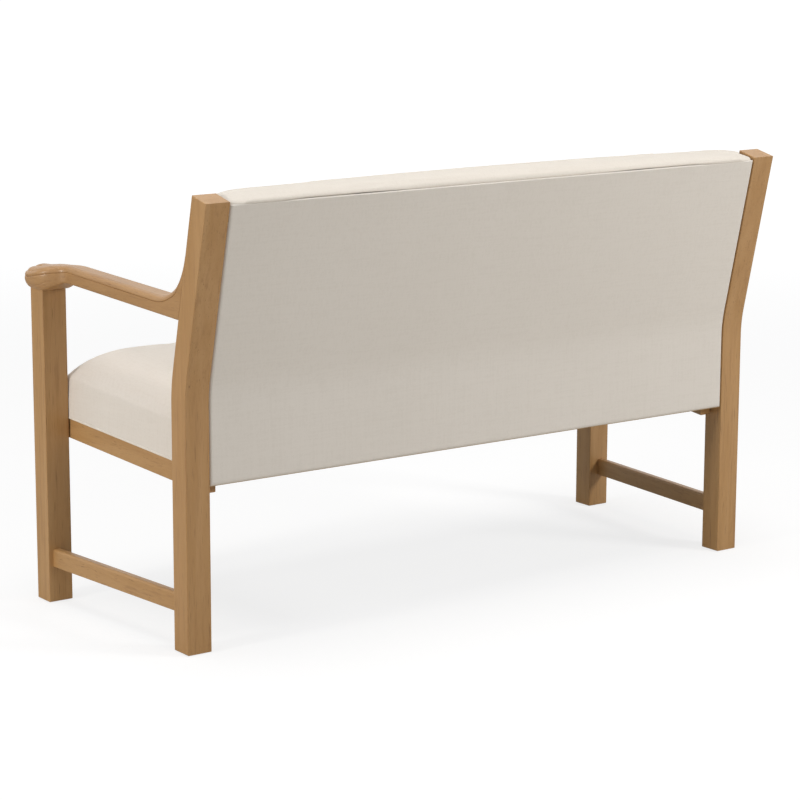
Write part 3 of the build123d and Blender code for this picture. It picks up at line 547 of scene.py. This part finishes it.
def armPlan(y):   # middle and half width
    if y <= neckShape[0][0]:
        return neckShape[0][1:]
    for (lowY, *low), (highY, *high) in zip(neckShape, neckShape[1:]):
        if y <= highY:
            share = (y - lowY) / (highY - lowY)
            return [first + (second - first) * share for first, second in zip(low, high)]
    run = line["armRearY"] - y
    return line["postX"] + run * line["armLean"], arm["half"] - run * arm["taper"]


def armUnder(y):
    return line["armRearZ"] + (line["armRearY"] - y) * tan(line["armPitch"])


def armTop(y):
    return arm["topZ"] - (y - arm["shoulderY"]) * tan(line["armPitch"])


# outline of the outer side in plan, from the start of the sweep to the middle of the nose
def armOutline():
    radius, noseY = arm["gripRadius"], arm["gripY"]
    edge = arm["gripHalf"] - radius
    lastY, bunY = arm["gripRows"]
    places = between(*arm["barRun"], 26) + [y for y, middle, half in neckShape[::-1]] + [lastY]
    bun = [(edge + radius * cos(turn), noseY - radius * sin(turn)) for turn in between(0, pi / 2, 26)]
    return [(armPlan(y)[1], y) for y in places] + [(arm["gripHalf"], bunY)] + bun + [(0, noseY - radius)]


def armRow(x, y):
    grip = easeIn(-y, *arm["blend"])
    rows = []
    targetY = max(y, arm["drawnTo"])
    sagFrom, sagOver = arm["sagRise"]
    riseFrom, riseTo = arm["rise"]
    earlier, later = arm["riseSpread"]
    for barInset, barRise, gripInset, gripRise in armProfile:
        share = (1 - grip) * barInset / arm["half"] + grip * gripInset / arm["gripHalf"]
        across = x * (1 - share)
        along = y + (targetY - y) * share
        low = armUnder(along)
        barZ = low + barRise * (armTop(along) - low) / arm["thickness"]
        sag = arm["gripSag"] * easeIn(-along, *arm["sagRun"]) * min(1, max(0, gripRise - sagFrom) / sagOver)
        gripZ = arm["gripZ"] + gripRise - sag
        lift = min(1, gripRise / arm["riseOver"])
        z = barZ + (gripZ - barZ) * easeIn(-y, riseFrom - earlier * lift, riseTo + later * lift)
        rows.append([across, along, z, gripRise * grip])
    return rows


def fluted(across, along, z, rise):
    flat, full = arm["fluteRise"]
    if rise < flat:
        return z
    reach = sin(min(1, max(0, (-along - arm["fluteStart"]) / arm["fluteRun"])) * pi / 2)
    hollow = 0
    for middle in (-arm["fluteX"], arm["fluteX"]):
        hollow += max(0, 1 - ((across - middle) / arm["fluteWidth"]) ** 2) ** arm["fluteEdge"]
    swell = arm["swell"] * cos(across / arm["fluteX"] * pi) * easeIn(-along, *arm["swellRun"])
    return z - arm["fluteDepth"] * hollow * reach * easeIn(rise, flat, full) + swell * easeIn(rise, *arm["swellRise"])


def armPoint(side, row):
    points = []
    for across, along, z, rise in row:
        points.append((armPlan(along)[0] + side * across, along, fluted(side * across, along, z, rise)))
    return points


# stations of the hollow sweep, where the arm's top turns up the post
def sweepRows(side):
    middleY, middleZ = arm["sweepCentre"]
    pitch, lean, radius = line["armPitch"], line["rake"], arm["sweepRadius"]
    mould = arm["mouldRise"]
    rows = []
    for turn in between(0, pi / 2 - lean + pitch, 30)[1:]:
        downY, downZ = sin(turn - pitch), -cos(turn - pitch)
        topY, topZ = middleY + radius * downY, middleZ + radius * downZ
        toUnder = (armUnder(topY) - topZ) / (downZ + tan(pitch) * downY)
        toPost = (line["armRearY"] + (topZ - line["armRearZ"]) * tan(lean) - topY) / (downY - tan(lean) * downZ)
        rows.append((turn, topY, topZ, downY, downZ, toUnder, toPost))
    shaped = []
    for turn, topY, topZ, downY, downZ, toUnder, toPost in rows:
        posted = toUnder < 0 or toPost < toUnder
        depth = max(arm["sweepLip"], toPost) if posted else toUnder
        row = []
        for barInset, barRise, gripInset, gripRise in armProfile:
            inset = barInset
            if depth < arm["thickness"]:
                down = depth * (1 - barRise / arm["thickness"])
            elif barRise >= mould:
                down = arm["thickness"] - barRise
            elif posted:
                down = depth - barRise * (depth - (arm["thickness"] - mould)) / mould
            else:
                down = depth - barRise
            if posted and barRise < mould and barInset < arm["mouldInset"]:
                inset = barInset * arm["mouldLeft"]
            y, z = topY + down * downY, topZ + down * downZ
            middle, half = armPlan(y)
            row.append((middle + side * half * (1 - inset / arm["half"]), y, z))
        shaped.append(row)
    return shaped[::-1]


def makeArm():
    outer = armOutline()
    rows = sweepRows(1) + [armPoint(1, armRow(x, y)) for x, y in outer]
    rows += [armPoint(-1, armRow(x, y)) for x, y in outer[-2::-1]] + sweepRows(-1)[::-1]
    return skin("left_arm_wood", rows)


leftArm = makeArm()
smoothBy(leftArm, 38)
rightArm = mirrorCopy(leftArm, "right_arm_wood")
smoothBy(rightArm, 38)
finishPiece(leftArm, shadedArmTimber, "wood", "left_arm")
finishPiece(rightArm, shadedArmTimber, "wood", "right_arm")
print("arms shaped")


# Stuffed cloth: remeshed, blown up a little, held in its place, and smoothed

stuffing = {"mesh": 0.008, "pressure": 4.0, "frames": 20}


def stuff(piece, cap, hold):
    addModifier(piece, "REMESH", mode="VOXEL", voxel_size=stuffing["mesh"])
    start = [vertex.co.copy() for vertex in piece.data.vertices]
    takeUp(piece)
    swell = piece.modifiers.new("swell", "CLOTH")
    swell.settings.use_pressure = True
    swell.settings.uniform_pressure_force = stuffing["pressure"]
    swell.settings.effector_weights.gravity = 0
    swell.point_cache.frame_start, swell.point_cache.frame_end = 1, stuffing["frames"]
    for number in range(1, stuffing["frames"] + 1):
        bpy.context.scene.frame_set(number)
    bpy.ops.object.modifier_apply(modifier=swell.name)
    bpy.context.scene.frame_set(1)
    for vertex, first in zip(piece.data.vertices, start):
        move = vertex.co - first
        limit = cap(first / mm) * mm
        if move.length > limit:
            move *= limit / move.length
        vertex.co = Vector(hold((first + move) / mm)) * mm
    addModifier(piece, "SMOOTH", factor=0.5, iterations=6)
    for vertex in piece.data.vertices:
        vertex.co = Vector(hold(vertex.co / mm)) * mm
    addModifier(piece, "SUBSURF", levels=1, render_levels=1)
    smoothBy(piece, 60)


# Seat: springs and padding under one cover, upright at the sides and rolled over the front

seat = {
    "top": 159, "crown": 5, "hem": 41, "front": -274.3, "rear": 187.5, "roll": 55, "rollDrop": 46,
    "shoulder": 112, "sideShare": 0.22, "deck": 83, "small": 1.6, "rollFront": 2.3,
    "swell": (3, 5.5), "swellIn": 150, "swellUp": (60, 150), "swellBack": (60, 140),   # how far the cloth may blow up
    "railTop": (76, 96), "sidePull": 0.4, "edgeReach": 12, "hemReach": (7.5, 14), "crestRise": 6,
}


def seatSection(y, drop, half):
    top, low = seatZ(y, seat["top"]) - drop, seatZ(y, seat["hem"])
    foot = seatZ(y, seat["deck"]) + (top - seatZ(y, seat["deck"])) * seat["sideShare"]
    rise, width = top - foot, seat["shoulder"]
    right = [(half, z) for z in between(low, foot, 8)]
    right += [(half - width * (1 - cos(turn)), foot + rise * sin(turn)) for turn in between(0, pi / 2, 14)[1:]]
    crown = [
        (x, top + seat["crown"] * (1 - (x / (half - width)) ** 2)) for x in between(half - width, 0, 16)[1:]
    ]
    outer = right + crown
    return [(x, y, z) for x, z in outer] + [(-x, y, z) for x, z in outer[-2::-1]] + [(half, y, low)]


def makeSeat():
    small = seat["small"]
    front, rollEnd = seat["front"] + small, seat["front"] + seat["rollFront"] + seat["roll"]
    rows = []
    for turn in between(0, pi / 2, 10):
        y = rollEnd - (rollEnd - front) * cos(turn)
        rows.append(seatSection(y, small + seat["rollDrop"] * (1 - sin(turn)), seatHalf(y) - small))
    for y in between(rollEnd, seat["rear"] - small, 24)[1:]:
        rows.append(seatSection(y, small, seatHalf(y) - small))
    piece = skin("seat_upholstery", rows)

    def cap(point):
        x, y, z = point
        low, high = seat["swellUp"]
        least, more = seat["swell"]
        lift = easeIn(seatHalf(y) - abs(x), 0, seat["swellIn"]) * easeIn(z, seatZ(y, low), seatZ(y, high))
        return least + more * lift * (1 - easeIn(y, *seat["swellBack"]))

    def hold(point):
        x, y, z = point
        half, reach = seatHalf(y) - 0.3, seat["edgeReach"]
        low, high = seat["railTop"]
        flat = 1 - easeIn(z, seatZ(y, low), seatZ(y, high))   # the cloth lies flat on the rails
        if abs(x) > half - reach:
            x = (abs(x) + (half - abs(x)) * max(flat, seat["sidePull"])) * (1 if x > 0 else -1)
        x = max(-half, min(half, x))
        if y < seat["front"] + reach:
            y += (seat["front"] - y) * flat
        y = max(seat["front"], min(seat["rear"], y))
        crest = seatZ(y, seat["top"] + seat["crown"]) + seat["crestRise"] * (1 - easeIn(y, 60, 130))
        hem = seatZ(y, seat["hem"]) + 0.1
        z = max(hem, min(crest, z))
        if abs(x) > half - reach or y < seat["front"] + reach:   # the hem is drawn down to the cord
            z -= (z - hem) * (1 - easeIn(z - hem, *seat["hemReach"]))
        return x, y, z

    stuff(piece, cap, hold)
    return piece


seatPad = makeSeat()
finishPiece(seatPad, seatCloth, "fabric", "seat_foam", "seat_cover")
print("seat stuffed")


# Inside back: padding with its cover rolled over the top, between the posts

backPad = {
    "half": 609.5, "proud": 85.3, "tuck": 17, "tuckWidth": 70, "topUp": 358, "crown": 8, "nose": 26,
    "bendRadius": 60, "flap": 45, "seamUp": 348.6, "small": 2.5,
    "lip": 7, "behind": 5, "footY": 135.7, "footClear": 1, "endRound": 40,
    "swell": (3, 5), "swellIn": 160, "swellUp": (470, 560), "endReach": (14, 6), "lowZ": 460, "lowY": 133,
    "seamReach": 4.5, "pullReach": (13, 5), "liftReach": (5, 2), "liftFade": (3, 8), "seamClear": 0.3,
}


def padFootZ(x):
    y, clear = backPad["footY"], backPad["footClear"]
    top, half = seatZ(y, seat["top"]), seatHalf(y)
    flat = half - seat["shoulder"]
    x = min(abs(x), half)
    if x > flat:
        foot = seatZ(y, seat["deck"]) + (top - seatZ(y, seat["deck"])) * seat["sideShare"]
        return foot + (top - foot) * sqrt(max(0, 1 - ((x - flat) / seat["shoulder"]) ** 2)) + clear
    return top + seat["crown"] * (1 - (x / flat) ** 2) + clear


def backSection(x):
    small, half = backPad["small"], backPad["half"]
    turn = min(1, max(0, (abs(x) - half + backPad["tuckWidth"]) / backPad["tuckWidth"]))
    tuck = backPad["tuck"] * (1 - sqrt(1 - turn ** 2))
    front = backPad["proud"] - small - tuck
    top = backPad["topUp"] - small + backPad["crown"] * (1 - (x / half) ** 2)
    foot = padFootZ(x) + 0.5
    frontBend = bendPoints(front, backPad["bendRadius"], 6)
    rearBend = bendPoints(backPad["flap"], backPad["bendRadius"], 6)
    nose = backPad["nose"]
    frontLine = [(frontBend[0][0], foot + (frontBend[0][1] - foot) * share) for share in between(0, 1, 3)[:-1]]
    riseStart = (frontBend[-1][1] - line["bendZ"]) / cos(line["rake"])
    frontLine += frontBend + [
        rakePoint(front, up) for up in between(riseStart + 12, top - nose, 18)
    ]
    frontLine += [
        rakePoint(front - nose * (1 - cos(bend)), top - nose + nose * sin(bend))
        for bend in between(0, pi / 2, 8)[1:]
    ]
    frontLine += [rakePoint(inset, top) for inset in between(front - nose, small, 6)[1:]]
    lip = backPad["seamUp"] - backPad["lip"]
    frontLine += [rakePoint(small, backPad["seamUp"]), rakePoint(backPad["behind"], lip)]
    frontLine += [rakePoint(inset, lip) for inset in between(backPad["behind"], backPad["flap"], 5)[1:]]
    innerStart = (rearBend[-1][1] - line["bendZ"]) / cos(line["rake"])
    frontLine += [rakePoint(backPad["flap"], up) for up in between(backPad["seamUp"] - 14, innerStart + 10, 14)]
    frontLine += rearBend[::-1]
    low = rearBend[0]
    frontLine += [(low[0], low[1] + (foot - low[1]) * share) for share in between(0, 1, 4)[1:]]
    frontLine += [(frontBend[0][0], foot)]
    return [(x, y, z) for y, z in frontLine]


def makeBack():
    edge = backPad["half"] - backPad["small"]
    side = [edge - backPad["endRound"] * (1 - sin(turn)) for turn in between(0, pi / 2, 6)]
    places = between(0, edge - backPad["endRound"], 22)[:-1] + side
    rows = [backSection(-x) for x in places[:0:-1]] + [backSection(x) for x in places]
    piece = skin("inside_back_upholstery", rows)

    def cap(point):
        x, y, z = point
        least, more = backPad["swell"]
        away = easeIn(backPad["half"] - abs(x), 0, backPad["swellIn"]) * easeIn(z, *backPad["swellUp"])
        return least + more * away

    def hold(point):
        x, y, z = point
        half = backPad["half"] - 0.1
        start, end = backPad["endReach"]
        x += (half - abs(x)) * easeIn(abs(x), half - start, half - end) * (1 if x > 0 else -1)   # out to the posts
        x = max(-half, min(half, x))
        lean = line["rake"]
        rearY, rise = y - line["backY"] + line["halfDepth"], z - line["bendZ"]
        off, up = rearY * cos(lean) - rise * sin(lean), rearY * sin(lean) + rise * cos(lean)
        limit, edge = line["halfDepth"] - backPad["seamClear"], backPad["seamUp"] - backPad["seamClear"]
        far, near = backPad["pullReach"]
        low, high = backPad["liftReach"]
        # flush with the outside back, down to its edge
        if up > backPad["seamUp"] - backPad["seamReach"] and off > limit - far:
            pull = (off - limit) * (1 if off > limit else easeIn(off, limit - far, limit - near))
            fade = 1 - easeIn(up - edge, *backPad["liftFade"])
            lift = (edge - up) * easeIn(off - pull, limit - low, limit - high) * fade
            y += lift * sin(lean) - pull * cos(lean)
            z += lift * cos(lean) + pull * sin(lean)
        if z < backPad["lowZ"]:
            y = max(y, backPad["lowY"])
        return x, y, max(z, padFootZ(x) + 0.2)

    stuff(piece, cap, hold)
    return piece


insideBack = makeBack()
finishPiece(insideBack, backCloth, "fabric", "back_foam", "inside_back_cover")
print("inside back stuffed")


# Outside back: cloth drawn over a board, turned in at its edges

panel = {
    "half": 609.3, "low": 305.2, "seamUp": 348.2, "round": 7, "deep": 4.2,
    "footRound": 6, "topRound": 2, "topDeep": 1.6, "backGap": 0.2,
}


def makePanel():
    lean = line["rake"]
    reach = line["bendRadius"] * tan(lean / 2)
    bendLow = line["bendZ"] - line["halfDepth"] * tan(lean / 2) - reach
    heights = [panel["low"] + panel["footRound"] * (1 - cos(turn)) for turn in between(0, pi / 2, 5)]
    spots = [(line["backY"], z, 0) for z in heights] + [(line["backY"], z, 0) for z in between(316, bendLow, 12)]
    bend = zip(bendPoints(0, line["bendRadius"], 10)[1:], between(0, lean, 10)[1:])
    spots += [(y, z, turn) for (y, z), turn in bend]
    start = (spots[-1][1] - line["bendZ"] + line["halfDepth"] * sin(lean)) / cos(lean)
    topStart = panel["seamUp"] - panel["topRound"]
    ups = between(start + 10, topStart, 26) + [
        topStart + panel["topRound"] * sin(turn) for turn in between(0, pi / 2, 5)[1:]
    ]
    spots += [(*rakePoint(0, up), lean) for up in ups]
    edge = panel["half"]
    sides = [edge - panel["round"] * (1 - sin(turn)) for turn in between(0, pi / 2, 6)]
    places = between(0, edge - panel["round"], 28)[:-1] + sides
    places = [-x for x in places[:0:-1]] + places
    rows = []
    count = len(spots)
    for number, (y, z, turn) in enumerate(spots):
        row = []
        endIn = 0
        if number < 6:
            endIn = panel["deep"] * (1 - sin(between(0, pi / 2, 5)[number]))
        if number > count - 6:
            endIn = panel["topDeep"] * (1 - cos(between(0, pi / 2, 4)[number - count + 5]))
        for x in places:
            share = max(0, (abs(x) - edge + panel["round"]) / panel["round"])
            inset = max(endIn, panel["deep"] * (1 - sqrt(max(0, 1 - share ** 2))))
            inset = min(panel["deep"], inset + min(endIn, inset) * 0.4)
            row.append((x, y - inset * cos(turn), z + inset * sin(turn)))
        depth = panel["deep"] + panel["backGap"]
        backs = [(x, y - depth * cos(turn), z + depth * sin(turn)) for x in places]
        rows.append(row + backs[::-1] + row[:1])
    return skin("outside_back_cloth", rows)


outsideBack = makePanel()
smoothBy(outsideBack, 50)
finishPiece(outsideBack, outsideCloth, "outside_fabric", "outside_back_panel")
print("outside back covered")


# Welt along the lower edge of the seat's cloth

welt = {"low": 38.1, "high": 42.4, "thick": 3.4, "gap": 3, "rearY": 173.6, "frontY": -272.0, "frontX": 644.3}


def weltRow(base, out):   # a rounded section, from its base line outwards
    x, y = base
    low, high = seatZ(y, welt["low"]), seatZ(y, welt["high"])
    middle, tall = (low + high) / 2, (high - low) / 2
    points = []
    for turn in between(-pi / 2, pi / 2, 8):
        reach = welt["thick"] * (0.25 + 0.75 * cos(turn))
        points.append((x + out[0] * reach, y + out[1] * reach, middle + tall * sin(turn)))
    return [(x, y, low)] + points + [(x, y, high), (x, y, low)]


def makeWelt():
    strips = []
    for side in (1, -1):
        path = between(line["legBackY"] + 0.3, welt["rearY"], 30)
        rows = [weltRow((side * (sideX(y) - welt["gap"]), y), (side, 0)) for y in path]
        strips.append(skin("side_welt", rows))
    rows = [weltRow((x, welt["frontY"]), (0, -1)) for x in between(-welt["frontX"], welt["frontX"], 60)]
    strips.append(skin("front_welt", rows))
    deselectAll()
    for strip in strips:
        strip.select_set(True)
    bpy.context.view_layer.objects.active = strips[0]
    bpy.ops.object.join()
    strips[0].name = "seat_welt_cord"
    return strips[0]


weltCord = makeWelt()
smoothBy(weltCord, 50)
finishPiece(weltCord, weltHighlightCloth, "welt", "seat_welt")
print("welt laid")
